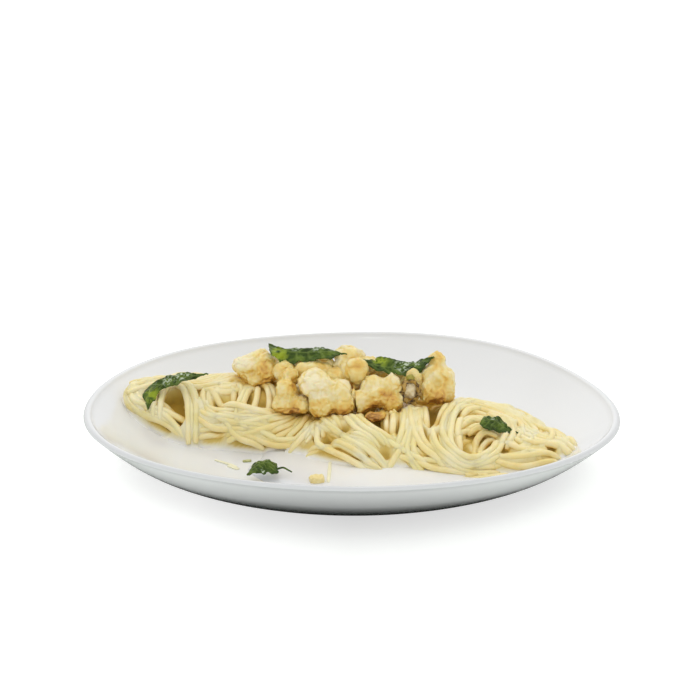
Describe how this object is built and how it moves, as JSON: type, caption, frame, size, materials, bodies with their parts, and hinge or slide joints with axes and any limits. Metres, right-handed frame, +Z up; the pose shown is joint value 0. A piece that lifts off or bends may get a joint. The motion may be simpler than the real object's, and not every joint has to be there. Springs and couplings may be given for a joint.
{
  "type": "plate of chicken alfredo",
  "caption": "Round coupe plate with a long heap of spaghetti in cream sauce, battered chicken pieces on the heap and fried leaves laid over it.",
  "frame": {"origin": "middle of the plate's outline, on the surface that the plate stands on", "axes": "+X along the plate's width, +Y away from the diner, +Z up"},
  "size_m": [0.26, 0.2436, 0.0511],
  "materials": {
    "glaze": "smooth white gloss glaze",
    "cream": "smooth, wet cream sauce",
    "pasta": "cooked spaghetti with a film of cream sauce",
    "batter": "knobbly golden batter with a little cream sauce",
    "crisp": "browned, crisp crumb",
    "leaf": "dark, oily fried leaf"
  },
  "bodies": {
    "root": {"plate": "glaze", "sauce_pool": "cream", "spaghetti": "pasta", "chicken_1": "batter", "chicken_2": "batter", "chicken_3": "batter", "chicken_4": "batter", "chicken_5": "batter", "chicken_6": "batter", "chicken_7": "batter", "chicken_8": "batter", "crisp_curl": "crisp", "leaf_1": "leaf", "leaf_2": "leaf", "leaf_3": "leaf", "leaf_4": "leaf", "leaf_5": "leaf"}
  },
  "joints": []
}
